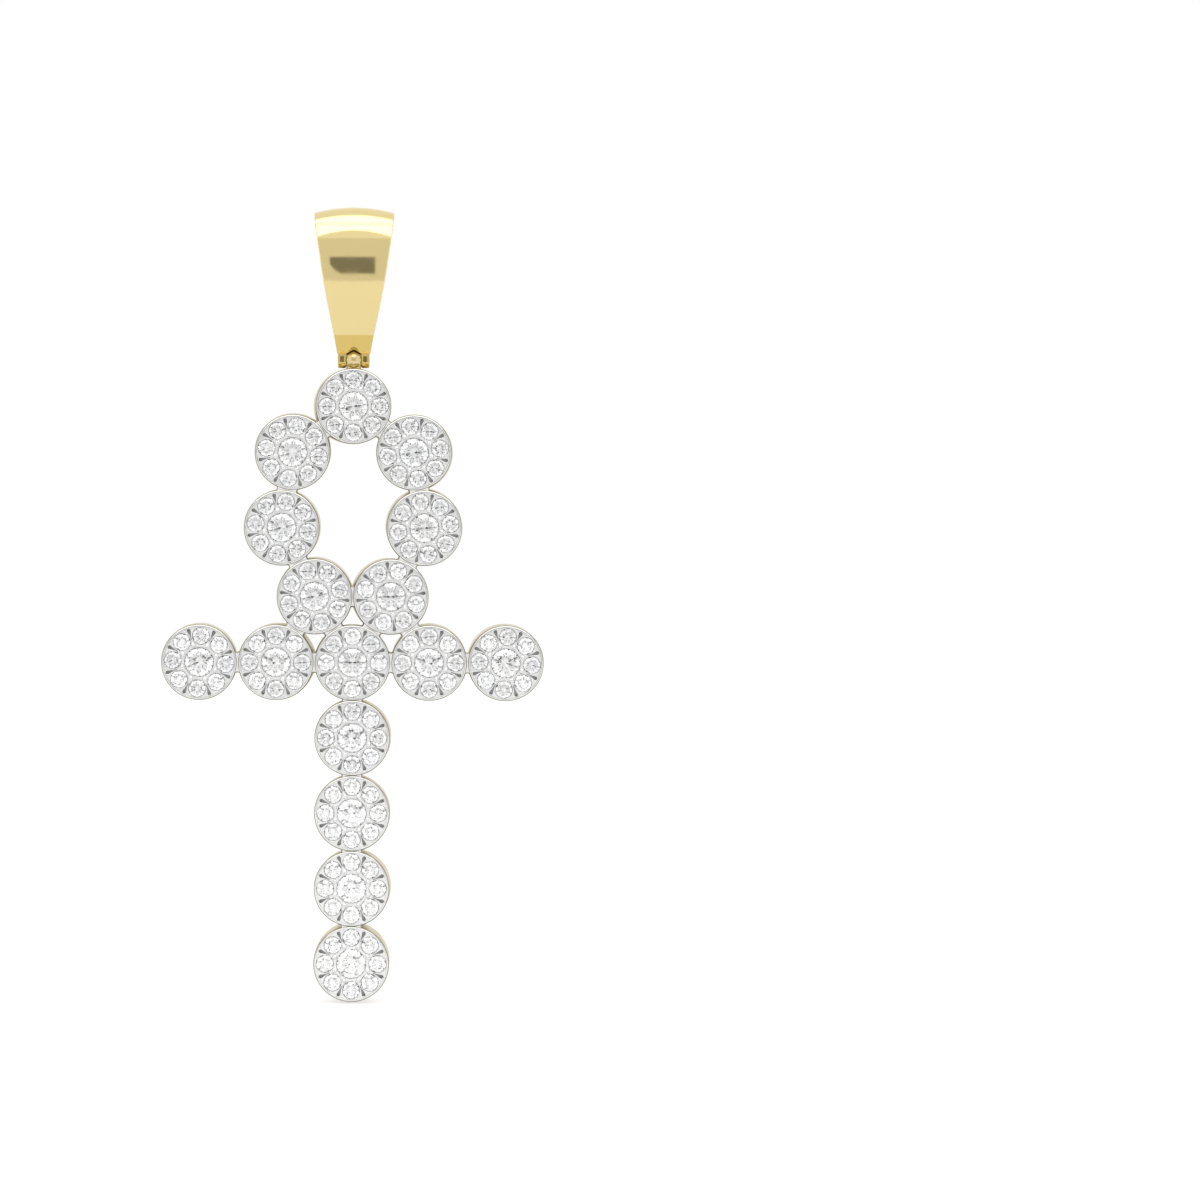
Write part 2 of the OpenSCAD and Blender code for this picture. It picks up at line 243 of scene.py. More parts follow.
# Two near tones and two roughnesses of each gold, with its clouds and marks in cycles a metre
BAIL_GOLD = (0.715, 0.58, 0.268, 1), (0.76, 0.625, 0.308, 1)
HINGE_GOLD = (0.63, 0.51, 0.25, 1), (0.68, 0.56, 0.29, 1)
CUP_GOLD = (0.52, 0.46, 0.285, 1), (0.58, 0.515, 0.325, 1)
BAIL_ROUGHNESS = (0.05, 0.1)
HINGE_ROUGHNESS = (0.2, 0.3)
CUP_ROUGHNESS = (0.3, 0.4)
GOLD_CLOUDS = 160
GOLD_MARKS = 900
# Painted reflection: a deeper gold over the bail's feet and ears, for the light they mirror from one another.
# Painted shade: a dark gold where a cup's wall meets its plated rim
FOOT_REFLECTION_GOLD = (0.635, 0.475, 0.15, 1)
RIM_SHADE_GOLD = (0.33, 0.31, 0.245, 1)
FOOT_REFLECTION_FADE = 0.05
RIM_SHADE_FADE = (0.15, 0.4)

# The same for the white plating, whose tones are shares of its brightness. Each kind has its
# roughness from and to, its brightness, and the height of its waves in millimetres
SATIN_WHITE = (0.35, 0.45, 0.88, 0.015)
POLISHED_WHITE = (0.1, 0.18, 0.78, 0.01)
# Painted shade: a darker white for the floors of the cuts, where shade falls
SHADED_CUT_WHITE = (0.5, 0.6, 0.42, 0)
WHITE_TONES = (0.95, 0.95, 0.95), (1, 1, 0.99)
WHITE_CLOUDS = 300
WHITE_MARKS = 1500
# Length of the soft waves in the worked white metal
WAVE_L = 0.3
# Where a noise's values lie, for the roughness that follows it
NOISE_SPAN = (0.3, 0.7)

# Diamond
DIAMOND_IOR = 2.417
DIAMOND_TINTS = (0.985, 0.99, 1, 1), (1, 1, 0.985, 1)

# The floor, in millimetres
FLOOR_SIZE = 600
FLOOR_FRONT = -280
FLOOR_GAP = 0.1
FLOOR_GREY = (0.35, 0.35, 0.35, 1)
FLOOR_ROUGHNESS = 0.5
FLOOR_SPECULAR = 0.2
FLOOR_GLOW = 0.6
WHITE = (1, 1, 1, 1)

# Brightness of the studio around it. Heights, sides and depths are those of a direction of length 1,
# and a pair of them is where a soft border starts and stops
FRONT_WALL = 0.91
STRIP = 1.12
STRIP_START = (0.5, 0.53)
LAMP = 2.9
LAMP_START = (0.71, 0.75)
LAMP_BOW = 0.78
LAMP_SEAM = 0.62
SEAM_START = (0.83, 0.87)
SEAM_STOP = (0.89, 0.94)
BACK_WALL = 1.09
BACK_START = (-0.1, 0.15)
SIDE_WALL = 1.6
SIDE_START = (0.58, 0.64)
SIDE_FLAGS = [(0.63, 0.71), (0.79, 0.88)]
FLAG_EDGE = 0.02
FLAG_LIGHT = 0.05
# A dark card in front, whose lower left corner is rounded
CARD_LEFT = 0.022
CARD_SIDES = (0.29, 0.32)
CARD_TOP = (0.085, 0.115)
CARD_FOOT = (-0.115, -0.085)
CARD_CORNER = -0.16
CARD_CORNER_BEND = 4
CARD_FACING = (-0.3, -0.2)
CARD_SHADE = 0.7

# Bounces of light that the stones need
BOUNCES = 24


def node_mid(node):
    """Middle of a node's box, in millimetres."""
    low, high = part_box(node)
    return [(a + b) / 2 / MM for a, b in zip(low, high)]


stones = sorted(name for name in frame["nodes"] if name.startswith("center_stone_"))
hinge = frame["record"]["behaviour"]["joints"][0]["pos_m"]
HINGE_Z = hinge[2] / MM
FRONT_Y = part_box(stones[0])[0][1] / MM
# From the middle stone's table back to the cup's rim
TABLE_CORNER = TABLE / math.cos(math.pi / FACETS)
CROWN_H = (CENTER_D / 2) * (1 - TABLE_CORNER) * math.tan(math.radians(CROWN_ANGLE))
RIM_Y = FRONT_Y + CROWN_H + GIRDLE_Z
CLUSTERS = [(node_mid(name)[0], node_mid(name)[2], turn) for name, turn in zip(stones, RING_TURNS)]


def turn_deg(angle):
    return Matrix.Rotation(math.radians(angle), 4, "Z")


def stand(x, z):
    """From a cup's own place, front up, to its place in the pendant."""
    return Matrix.Translation((x, RIM_Y, z)) @ Matrix.Rotation(math.radians(90), 4, "X")


def new_object(name, mesh, materials):
    piece = bpy.data.objects.new(name, mesh)
    bpy.context.scene.collection.objects.link(piece)
    for material in materials:
        mesh.materials.append(material)
    return piece


def to_metres(bm):
    bmesh.ops.scale(bm, vec=(MM, MM, MM), verts=bm.verts)


def mesh_from(bm, name, smooth=True, angle=35):
    """Ends a bmesh in millimetres: scales it to metres, and smooths all but its sharp edges."""
    to_metres(bm)
    bmesh.ops.recalc_face_normals(bm, faces=bm.faces)
    mesh = bpy.data.meshes.new(name)
    bm.to_mesh(mesh)
    bm.free()
    if smooth:
        mesh.shade_smooth()
        mesh.set_sharp_from_angle(angle=math.radians(angle))
    else:
        mesh.shade_flat()
    return mesh


def add_lathe(bm, profile, steps, closed=True):
    """Turns a profile of (radius, height) about Z. A radius of 0 becomes a pole."""
    rings = []
    for radius, height in profile:
        if radius < 1e-9:
            rings.append([bm.verts.new((0, 0, height))])
            continue
        rings.append([
            bm.verts.new((
                radius * math.cos(2 * math.pi * k / steps),
                radius * math.sin(2 * math.pi * k / steps),
                height,
            ))
            for k in range(steps)
        ])
    pairs = list(zip(rings, rings[1:]))
    if closed:
        pairs.append((rings[-1], rings[0]))
    for low, high in pairs:
        if len(low) == 1 and len(high) == 1:
            continue
        for k in range(steps):
            n = k + 1
            corners = [low[k % len(low)], low[n % len(low)], high[n % len(high)], high[k % len(high)]]
            bm.faces.new(list(dict.fromkeys(corners)))
    return [v for ring in rings for v in ring]


def add_mesh(bm, mesh, matrix):
    """Adds a mesh to bm, placed by matrix."""
    first = len(bm.verts)
    bm.from_mesh(mesh)
    bm.verts.ensure_lookup_table()
    bmesh.ops.transform(bm, matrix=matrix, verts=bm.verts[first:])


def close_tube(bm, rings):
    """Joins rings of as many points each, one after another, and closes both ends."""
    count = len(rings[0])
    for low, high in zip(rings, rings[1:]):
        for k in range(count):
            n = (k + 1) % count
            bm.faces.new([low[k], low[n], high[n], high[k]])
    bm.faces.new(rings[0])
    bm.faces.new(rings[-1])


def circle_spline(curve, x, y, radius):
    """A round outline in a flat curve, from four arcs."""
    reach = radius * 4 / 3 * math.tan(math.pi / 8)
    spline = curve.splines.new("BEZIER")
    spline.bezier_points.add(3)
    for k, point in enumerate(spline.bezier_points):
        angle = k * math.pi / 2
        out = Vector((math.cos(angle), math.sin(angle), 0))
        along = Vector((-out.y, out.x, 0))
        point.co = Vector((x, y, 0)) + radius * out
        point.handle_left = point.co - reach * along
        point.handle_right = point.co + reach * along
    spline.use_cyclic_u = True


def slot_spline(curve, angle):
    """The cut between two small stones: narrow where they are closest, and round at its outer end."""
    spline = curve.splines.new("POLY")
    foot, waist, tip = (w / 2 + EDGE_R for w in (CUT_FOOT_W, CUT_WAIST_W, CUT_W))
    points = [
        (CUT_STOP, -tip), (CUT_WAIST, -waist), (CUT_START, -foot), (CUT_START, foot), (CUT_WAIST, waist),
    ]
    for k in range(CUT_END_STEPS):
        sweep = math.pi / 2 - math.pi * k / CUT_END_STEPS
        points.append((CUT_STOP + tip * math.cos(sweep), tip * math.sin(sweep)))
    spline.points.add(len(points) - 1)
    c, s = math.cos(math.radians(angle)), math.sin(math.radians(angle))
    for point, (x, y) in zip(spline.points, points):
        point.co = (c * x - s * y, s * x + c * y, 0, 1)
    spline.use_cyclic_u = True


def plate_mesh():
    """The stone plate of one cup with rounded edges on its seats and cuts, front face at PLATE_Z."""
    curve = bpy.data.curves.new("plate_outline", "CURVE")
    curve.dimensions = "2D"
    curve.fill_mode = "BOTH"
    curve.resolution_u = 9
    curve.bevel_depth = EDGE_R
    curve.bevel_resolution = 1
    curve.extrude = PLATE_T / 2 - EDGE_R
    circle_spline(curve, 0, 0, DISC_R - RIM_W + OVERLAP)
    circle_spline(curve, 0, 0, CENTER_D / 2 - SEAT_LIP)
    for k in range(ACCENTS):
        a = math.radians(k * STEP)
        circle_spline(curve, RING_R * math.cos(a), RING_R * math.sin(a), ACCENT_D / 2 - SEAT_LIP)
        slot_spline(curve, (k + 0.5) * STEP)
    holder = bpy.data.objects.new("plate_outline", curve)
    bpy.context.scene.collection.objects.link(holder)
    bpy.context.view_layer.update()
    mesh = bpy.data.meshes.new_from_object(holder.evaluated_get(bpy.context.evaluated_depsgraph_get()))
    bpy.data.objects.remove(holder)
    mesh.transform(Matrix.Translation((0, 0, PLATE_Z - PLATE_T / 2)))
    return mesh


def add_cut_floor(bm, angle):
    """The bottom of the cut between two small stones, made dark with painted shade, and the plain back of the
    plate behind it.
    """
    corners = [(CUT_START, -CUT_W), (CUT_STOP + CUT_W, -CUT_W), (CUT_STOP + CUT_W, CUT_W), (CUT_START, CUT_W)]
    back = PLATE_T - OVERLAP
    place = turn_deg(angle)
    for inner, outer, material in ((CUT_DEPTH / 3, CUT_DEPTH, SHADED_CUT), (back, back, 0)):
        depths = [inner, outer, outer, inner]
        face = bm.faces.new([
            bm.verts.new(place @ Vector((x, y, PLATE_Z - depth))) for (x, y), depth in zip(corners, depths)
        ])
        face.material_index = material


def add_seat(bm, x, y, d):
    """The funnel of metal under a stone, with its open hole behind."""
    r = d / 2 + SEAT_CLEARANCE
    hole = AZURE * d / 2
    ledge = GIRDLE_Z - d * GIRDLE - SEAT_CLEARANCE
    floor = ledge - (r - hole) * math.tan(math.radians(PAVILION_ANGLE))
    outside = r + SEAT_WALL
    verts = add_lathe(bm, [
        (outside, ledge - SEAT_SLOPE),
        (r, ledge),
        (hole, floor),
        (hole, PLATE_Z - PLATE_T - OVERLAP),
        (outside, PLATE_Z - PLATE_T - OVERLAP),
    ], SEAT_STEPS)
    bmesh.ops.translate(bm, vec=(x, y, 0), verts=verts)


def add_bead(bm, angle):
    """A polished prong between the stones."""
    first = len(bm.verts)
    faces = len(bm.faces)
    around, down = BEAD_STEPS
    bmesh.ops.create_uvsphere(bm, u_segments=around, v_segments=down, radius=BEAD_R)
    bm.verts.ensure_lookup_table()
    bm.faces.ensure_lookup_table()
    for face in bm.faces[faces:]:
        face.material_index = POLISHED
    place = turn_deg(angle) @ Matrix.Translation((BEAD_RING, 0, PLATE_Z - BEAD_SINK))
    bmesh.ops.transform(bm, matrix=place, verts=bm.verts[first:])


def face_mesh():
    """Everything white of one cup behind its rim: plate, seats and prongs."""
    bm = bmesh.new()
    add_mesh(bm, plate_mesh(), Matrix())
    add_seat(bm, 0, 0, CENTER_D)
    for k in range(ACCENTS):
        a = math.radians(k * STEP)
        add_seat(bm, RING_R * math.cos(a), RING_R * math.sin(a), ACCENT_D)
        add_bead(bm, (k + 0.5) * STEP)
        add_cut_floor(bm, (k + 0.5) * STEP)
    mesh = bpy.data.meshes.new("face")
    bm.to_mesh(mesh)
    bm.free()
    return mesh


def shell_mesh():
    """One cup's side wall and open back, with its rounded rim in the second material."""
    inner = DISC_R - RIM_W
    rim = [(inner, PLATE_Z - RIM_FOOT), (inner, -RIM_SHELF)]
    rim += [(inner + RIM_CHAMFER, -RIM_CHAMFER), (inner + RIM_SHELF, 0), (DISC_R - RIM_ROUND, 0)]
    wall = []
    for k in range(1, ROUND_STEPS + 1):
        a = math.pi / 2 * k / ROUND_STEPS
        wall.append((DISC_R - RIM_ROUND * (1 - math.sin(a)), -RIM_ROUND * (1 - math.cos(a))))
    wall += [(DISC_R - inset, -CUP_DEPTH + rise) for inset, rise in BACK_EDGE]
    wall += [
        (DISC_R - CUP_WALL + BACK_EDGE_IN, -CUP_DEPTH),
        (DISC_R - CUP_WALL, -CUP_DEPTH + BACK_EDGE_IN),
        (DISC_R - CUP_WALL, PLATE_Z - PLATE_T + WALL_REACH),
    ]
    bm = bmesh.new()
    add_lathe(bm, rim + wall, CUP_STEPS)
    bm.faces.ensure_lookup_table()
    bright = CUP_STEPS * (len(rim) + WHITE_ROWS - 1)
    for face in bm.faces[:bright]:
        face.material_index = POLISHED
    mesh = bpy.data.meshes.new("shell")
    bm.to_mesh(mesh)
    bm.free()
    return mesh


def add_web(bm, ax, az, bx, bz):
    """A solder bar between two neighbours, with a white front and ends bent to the cups."""
    half = math.hypot(bx - ax, bz - az) / 2 - WEB_END
    edge = WEB_EDGE
    rings = []
    for k in range(WEB_COLUMNS):
        u = 2 * k / (WEB_COLUMNS - 1) - 1
        w = WEB_W / 2 + WEB_FLARE * u * u
        dip = WEB_DIP * (1 - u * u)
        front, back = WEB_FRONT - dip, WEB_BACK + dip
        section = [(t * (w - edge), front) for t in WEB_PLACES] + [(w, front - edge), (w, back + edge)]
        section += [(-t * (w - edge), back) for t in WEB_PLACES]
        section += [(-w, back + edge), (-w, front - edge)]
        ring = []
        for y, z in section:
            bend = WEB_END - math.sqrt(WEB_END ** 2 - y * y)
            ring.append(bm.verts.new((u * (half + bend), y, z)))
        rings.append(ring)
    count = len(rings[0])
    across = len(WEB_PLACES) - 1
    for low, high in zip(rings, rings[1:]):
        for k in range(count):
            face = bm.faces.new([low[k], low[(k + 1) % count], high[(k + 1) % count], high[k]])
            face.material_index = BAR_FRONT if k < across else 0
    # Each end is closed by quads between its front and its back, and one at each side
    for ring in (rings[0], rings[-1]):
        for k in range(across):
            bm.faces.new([ring[k], ring[k + 1], ring[10 - k], ring[11 - k]])
        bm.faces.new([ring[4], ring[5], ring[6], ring[7]])
        bm.faces.new([ring[0], ring[11], ring[12], ring[13]])
    place = (
        stand((ax + bx) / 2, (az + bz) / 2)
        @ Matrix.Rotation(math.atan2(bz - az, bx - ax), 4, "Z")
    )
    bmesh.ops.transform(bm, matrix=place, verts=[v for ring in rings for v in ring])


def solder_pairs():
    """The places of each two cups that touch or nearly touch."""
    reach = 2 * DISC_R * NEIGHBOUR_REACH
    for n, (ax, az, _) in enumerate(CLUSTERS):
        for bx, bz, _ in CLUSTERS[n + 1:]:
            if math.hypot(bx - ax, bz - az) < reach:
                yield ax, az, bx, bz


def add_eye(bm):
    """The eye over the top cup: a rounded wheel with a ridge about the hinge's axis, on a short neck."""
    first = len(bm.faces)
    hole = BAR_R + EYE_HOLE_GAP
    half = EYE_W / 2 + EYE_CLEARANCE * EYE_FILL
    side = [(hole, half - EYE_HOLE_EDGE), (hole + EYE_HOLE_EDGE, half)]
    side += [(EYE_SHOULDER - EYE_EDGE, half), (EYE_SHOULDER, half - EYE_EDGE)]
    profile = [(radius, -x) for radius, x in side]
    for u in RIDGE_PLACES:
        rise = 1 - math.hypot(2 * u, RIDGE_BLUNT)
        profile.append((EYE_SHOULDER + (EYE_PEAK - EYE_SHOULDER) * rise, u * EYE_W))
    verts = add_lathe(bm, profile + side[::-1], HINGE_STEPS)
    place = Matrix.Translation((0, 0, HINGE_Z)) @ Matrix.Rotation(math.radians(90), 4, "Y")
    bmesh.ops.transform(bm, matrix=place, verts=verts)
    edge = NECK_EDGE
    rings = []
    for k in range(NECK_ROWS):
        u = k / (NECK_ROWS - 1)
        z = HINGE_Z - NECK_TOP - u * (HINGE_RISE + NECK_SINK)
        w = half + NECK_FLARE_W * u ** 3
        t = NECK_T + NECK_FLARE_T * u ** 3
        ring = [
            (-w, -t + edge), (-w + edge, -t), (w - edge, -t), (w, -t + edge),
            (w, t - edge), (w - edge, t), (-w + edge, t), (-w, t - edge),
        ]
        rings.append([bm.verts.new((x, y, z)) for x, y in ring])
    close_tube(bm, rings)
    bm.faces.ensure_lookup_table()
    for face in bm.faces[first:]:
        face.material_index = EYE_GOLD


def lean_back(across, up):
    """Shears a cup so that its back lies off its face by so many pixels of the photograph."""
    lean = Matrix.Identity(4)
    lean[0][2] = -across / PX_PER_MM / CUP_DEPTH
    lean[1][2] = -up / PX_PER_MM / CUP_DEPTH
    return lean


def frame_pieces(shell_materials, face_materials):
    """The soldered frame, as its cups' shells with the bars and eye, and its stone plates."""
    shell = shell_mesh()
    face = face_mesh()
    bm = bmesh.new()
    for (x, z, _), back in zip(CLUSTERS, BACK_PX):
        add_mesh(bm, shell, stand(x, z) @ lean_back(*back))
    for pair in solder_pairs():
        add_web(bm, *pair)
    add_eye(bm)
    shells = new_object("cup_shells", mesh_from(bm, "cup_shells"), shell_materials)
    bm = bmesh.new()
    for x, z, turn in CLUSTERS:
        add_mesh(bm, face, stand(x, z) @ turn_deg(turn))
    plates = new_object("stone_plates", mesh_from(bm, "stone_plates"), face_materials)
    for piece in (shells, plates):
        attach(piece, "ankh_body")
        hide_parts("frame")


def add_brilliant(bm, d, matrix):
    """A round brilliant of 57 facets with its girdle's top at height 0."""
    r = d / 2
    facet = 2 * math.pi / FACETS
    tan_crown = math.tan(math.radians(CROWN_ANGLE))
    tan_pavilion = math.tan(math.radians(PAVILION_ANGLE))
    table_r = r * TABLE / math.cos(facet / 2)
    girdle = d * GIRDLE
    star_r = table_r * math.cos(facet / 2) * (1 - STAR_REACH) + r * STAR_REACH
    star_z = (r - star_r * math.cos(facet / 2)) * tan_crown
    low_r = r * (1 - LOWER_REACH)
    low_z = -girdle - (r - low_r * math.cos(facet / 2)) * tan_pavilion

    def ring(n, radius, z, start=0.0):
        angles = [start + 2 * math.pi * k / n for k in range(n)]
        places = [Vector((radius * math.cos(a), radius * math.sin(a), z)) for a in angles]
        return [bm.verts.new(matrix @ place) for place in places]

    table = ring(FACETS, table_r, (r - table_r) * tan_crown)
    star = ring(FACETS, star_r, star_z, facet / 2)
    upper = ring(2 * FACETS, r, 0)
    lower = ring(2 * FACETS, r, -girdle)
    low = ring(FACETS, low_r, low_z, facet / 2)
    culet = bm.verts.new(matrix @ Vector((0, 0, -girdle - r * tan_pavilion)))
    bm.faces.new(table)
    for k in range(FACETS):
        n = (k + 1) % FACETS
        bm.faces.new([table[k], star[k], table[n]])
        bm.faces.new([table[n], star[k], upper[2 * n], star[n]])
        bm.faces.new([star[k], upper[2 * k], upper[2 * k + 1]])
        bm.faces.new([star[k], upper[2 * k + 1], upper[2 * n]])
        bm.faces.new([lower[2 * k], low[k], lower[2 * k + 1]])
        bm.faces.new([lower[2 * k + 1], low[k], lower[2 * n]])
        bm.faces.new([lower[2 * n], low[k], culet, low[n]])
    for k in range(2 * FACETS):
        n = (k + 1) % (2 * FACETS)
        bm.faces.new([upper[k], lower[k], lower[n], upper[n]])


def small_stones(material):
    """The small stones as full brilliants, each turned its own way."""
    bm = bmesh.new()
    for n, (x, z, turn) in enumerate(CLUSTERS):
        for k in range(ACCENTS):
            place = (
                stand(x, z)
                @ turn_deg(turn + k * STEP)
                @ Matrix.Translation((RING_R, 0, GIRDLE_Z))
                @ turn_deg((n * ACCENTS + k) * GOLDEN_ANGLE)
                @ Matrix.Rotation(math.radians(STONE_LEAN), 4, "X")
                @ turn_deg((n * ACCENTS + k) * GOLDEN_ANGLE)
            )
            add_brilliant(bm, ACCENT_D, place)
    piece = new_object("small_stones", mesh_from(bm, "small_stones", smooth=False), [material])
    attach(piece, "ankh_body")
    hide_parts("accent_stones")


def bail_half_width(z):
    """Half the strip's width at height z above the hinge's axis."""
    t = max(0.0, min(1.0, (z - EAR_R) / (BAIL_H - EAR_R)))
    return (BAIL_END_W + (BAIL_TOP_W - BAIL_END_W) * (t + math.sin(math.pi / 2 * t)) / 2) / 2


def drop_place(t, reach, tip, height):
    """Half-depth and height on a drop, and its outward normal's angle above level, with its top at t = pi."""
    run_y = reach * (math.cos(t) * math.sin(t / 2) + math.sin(t) * math.cos(t / 2) / 2)
    run_z = height * math.sin(t) / 2
    y = reach * math.sin(t) * math.sin(t / 2)
    return y, tip + height * (1 - math.cos(t)) / 2, math.atan2(-run_y, run_z)


def leg_places(low):
    """The same for a leg, from its lower end at height low up to its widest place."""
    y, z = BAIL_DEPTH / 2, WIDEST_Z
    places = []
    while z > low:
        lean = math.radians(LEG_TILT) * min(1, (WIDEST_Z - z) / (WIDEST_Z - FOOT_H))
        bend = max(0, min(1, (FOOT_H + FOOT_BEND - z) / (2 * FOOT_BEND)))
        lean += math.radians(FOOT_TILT - LEG_TILT) * bend * bend * (3 - 2 * bend)
        places.append((y, z, -lean))
        y -= math.tan(lean) * LEG_STEP
        z -= LEG_STEP
    foot = [place for place in places if place[1] < FOOT_H + 2 * FOOT_BEND]
    leg = places[:len(places) - len(foot)]
    rows = [places[-1 - round(k * len(foot) / LEG_ROWS)] for k in range(LEG_ROWS)]
    return rows + [leg[-1 - round(k * (len(leg) - 1) / LEG_ROWS)] for k in range(LEG_ROWS)]


def slot_roof(x, side, peak):
    """Height above the hinge's axis of an arch over the eye, from its sides to its peak."""
    return side + (peak - side) * max(0, 1 - abs(x) / SLOT_X)


def foot_dip(x, z):
    """How far the foot is worked in, in its middle over the eye, or out, to each side towards the ears."""
    middle = 0.5 + 0.5 * math.cos(math.pi * min(1, abs(x) / FOOT_MIDDLE))
    down = max(0, min(1, (FOOT_H - z) / (FOOT_H - ROOF_SIDE)))
    return FOOT_DIP * middle * down - FOOT_SWELL * (1 - middle) * down ** 2


def bail_side(low):
    """The strip's side view from its front foot over the top to its back foot."""
    top = [drop_place(DROP_TURN + (math.pi - DROP_TURN) * k / TOP_ROWS, DROP_REACH, DROP_TIP, DROP_H)
           for k in range(1, TOP_ROWS)]
    front = leg_places(low) + top
    back = [(-y, z, math.pi - tilt) for y, z, tilt in reversed(front)]
    return front + [(0, BAIL_H, math.pi / 2)] + back


def bail_strip(gold):
    """The folded strip, crowned across its outside, with its arched lower edge."""
    hollow_tip = EAR_R + BAIL_ROOT
    hollow_h = BAIL_H - BAIL_T - hollow_tip
    hollow_reach = DROP_REACH * (BAIL_DEPTH / 2 - BAIL_T) / (BAIL_DEPTH / 2)
    end_half = BAIL_END_W / 2
    bm = bmesh.new()
    columns = []
    for u in HALF_COLUMNS + [0] + [-share for share in reversed(HALF_COLUMNS)]:
        side = bail_side(slot_roof(u * end_half, ROOF_SIDE, ROOF_PEAK))
        roof = slot_roof(u * end_half, RIDGE_SIDE, RIDGE_PEAK)
        outer = []
        inner = []
        for k, (y, z, tilt) in enumerate(side):
            w = bail_half_width(z)
            sink = BAIL_CROWN * (2 * u * w / BAIL_TOP_W) ** 2 + foot_dip(u * w, z)
            outer.append(bm.verts.new((
                u * w,
                -(y - sink * math.cos(tilt)),
                HINGE_Z + z - sink * math.sin(tilt),
            )))
            t = math.acos(1 - 2 * (z - side[0][1]) / (BAIL_H - side[0][1]))
            t = t if 2 * k < len(side) else 2 * math.pi - t
            y, z, _ = drop_place(t, hollow_reach, hollow_tip, hollow_h)
            inner.append((u * bail_half_width(z), -y, HINGE_Z + z))
        ridge = bm.verts.new((u * end_half, 0, HINGE_Z + roof))
        columns.append((outer, [bm.verts.new(p) for p in inner[:-1]], ridge))
    turns = len(columns[0][1])
    for (outer_a, inner_a, ridge_a), (outer_b, inner_b, ridge_b) in zip(columns, columns[1:]):
        for k in range(turns):
            bm.faces.new([outer_a[k], outer_b[k], outer_b[k + 1], outer_a[k + 1]])
            n = (k + 1) % turns
            bm.faces.new([inner_a[k], inner_a[n], inner_b[n], inner_b[k]])
        bm.faces.new([outer_a[-1], outer_b[-1], ridge_b, ridge_a])
        bm.faces.new([ridge_a, ridge_b, outer_b[0], outer_a[0]])
    for outer, inner, ridge in (columns[0], columns[-1]):
        for k in range(turns):
            n = (k + 1) % turns
            bm.faces.new([outer[k], outer[k + 1], inner[n], inner[k]])
        bm.faces.new([outer[0], inner[0], outer[-1], ridge])
    piece = new_object("bail_strip", mesh_from(bm, "bail_strip", angle=BAIL_SHARP), [gold])
    bevel = piece.modifiers.new("rounded_edges", "BEVEL")
    bevel.width = BAIL_EDGE * MM
    bevel.segments = 3
    bevel.limit_method = "ANGLE"
    bevel.angle_limit = math.radians(BAIL_SHARP)
    bevel.harden_normals = True
    return piece


def add_ear(bm, side, inner, outer):
    """A hinge ear: a barrel with a flattened front and rounded edges."""
    rings = []
    for x, shrink in (
        (inner, EAR_EDGE), (inner + EAR_EDGE * 0.3, EAR_EDGE * 0.3), (inner + EAR_EDGE, 0),
        (outer - EAR_EDGE, 0), (outer - EAR_EDGE * 0.3, EAR_EDGE * 0.3), (outer, EAR_EDGE),
    ):
        ring = []
        for k in range(HINGE_STEPS):
            a = 2 * math.pi * k / HINGE_STEPS
            c, s = math.cos(a), math.sin(a)
            r = (EAR_ROUND_R - shrink) / (abs(c) ** EAR_SQUARE + abs(s) ** EAR_SQUARE) ** (1 / EAR_SQUARE)
            r = min(r, (EAR_ROUND_R - shrink) * EAR_CORNER)
            z = min(EAR_TOP - shrink / 2, r * s * EAR_RISE) if s > 0 else r * s
            ring.append(bm.verts.new((side * x, r * c, HINGE_Z + z)))
        rings.append(ring)
    close_tube(bm, rings)


def bail_ears(gold):
    """The two ears and the bar between them."""
    outer = BAIL_END_W / 2 - EAR_INSET
    bm = bmesh.new()
    for side in (-1, 1):
        add_ear(bm, side, SLOT_X, outer)
    bar = outer - BAR_INSET
    verts = add_lathe(bm, [(0, -bar), (BAR_R, -bar), (BAR_R, bar), (0, bar)], BAR_STEPS, closed=False)
    spin = Matrix.Translation((0, 0, HINGE_Z)) @ Matrix.Rotation(math.radians(90), 4, "Y")
    bmesh.ops.transform(bm, matrix=spin, verts=verts)
    return new_object("bail_ears", mesh_from(bm, "bail_ears"), [gold])


def bail_pieces(gold):
    for piece in (bail_strip(gold), bail_ears(gold)):
        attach(piece, "bail_body")
        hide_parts("bail")


def new_material(name):
    material = bpy.data.materials.new(name)
    material.use_nodes = True
    return material, material.node_tree, material.node_tree.nodes["Principled BSDF"]


def set_inputs(node, values):
    """Sets a node's own sockets by their names."""
    for name, value in values.items():
        node.inputs[name].default_value = value


def noise_node(tree, where, scale, detail=2):
    """Noise in a piece's own space, in cycles a metre."""
    noise = tree.nodes.new("ShaderNodeTexNoise")
    set_inputs(noise, {"Scale": scale, "Detail": detail})
    tree.links.new(where.outputs["Object"], noise.inputs["Vector"])
    return noise.outputs["Fac"]


def tone_node(tree, value, dark, light):
    """A colour between two tones."""
    ramp = tree.nodes.new("ShaderNodeValToRGB")
    ramp.color_ramp.elements[0].color = dark
    ramp.color_ramp.elements[1].color = light
    tree.links.new(value, ramp.inputs["Fac"])
    return ramp.outputs["Color"]


def range_node(tree, value, span, low, high, curve="SMOOTHSTEP"):
    """Goes from low to high while a value goes through a span."""
    node = tree.nodes.new("ShaderNodeMapRange")
    node.interpolation_type = curve
    set_inputs(node, {"From Min": span[0], "From Max": span[1], "To Min": low, "To Max": high})
    tree.links.new(value, node.inputs["Value"])
    return node.outputs["Result"]


def math_node(tree, operation, a, b=0):
    """Works on two values, each of them a number or a socket."""
    node = tree.nodes.new("ShaderNodeMath")
    node.operation = operation
    for socket, value in zip(node.inputs, (a, b)):
        if isinstance(value, (int, float)):
            socket.default_value = value
        else:
            tree.links.new(value, socket)
    return node.outputs[0]


def blend_node(tree, a, b, share):
    """From a to b by a share."""
    return math_node(tree, "ADD", a, math_node(tree, "MULTIPLY", math_node(tree, "SUBTRACT", b, a), share))


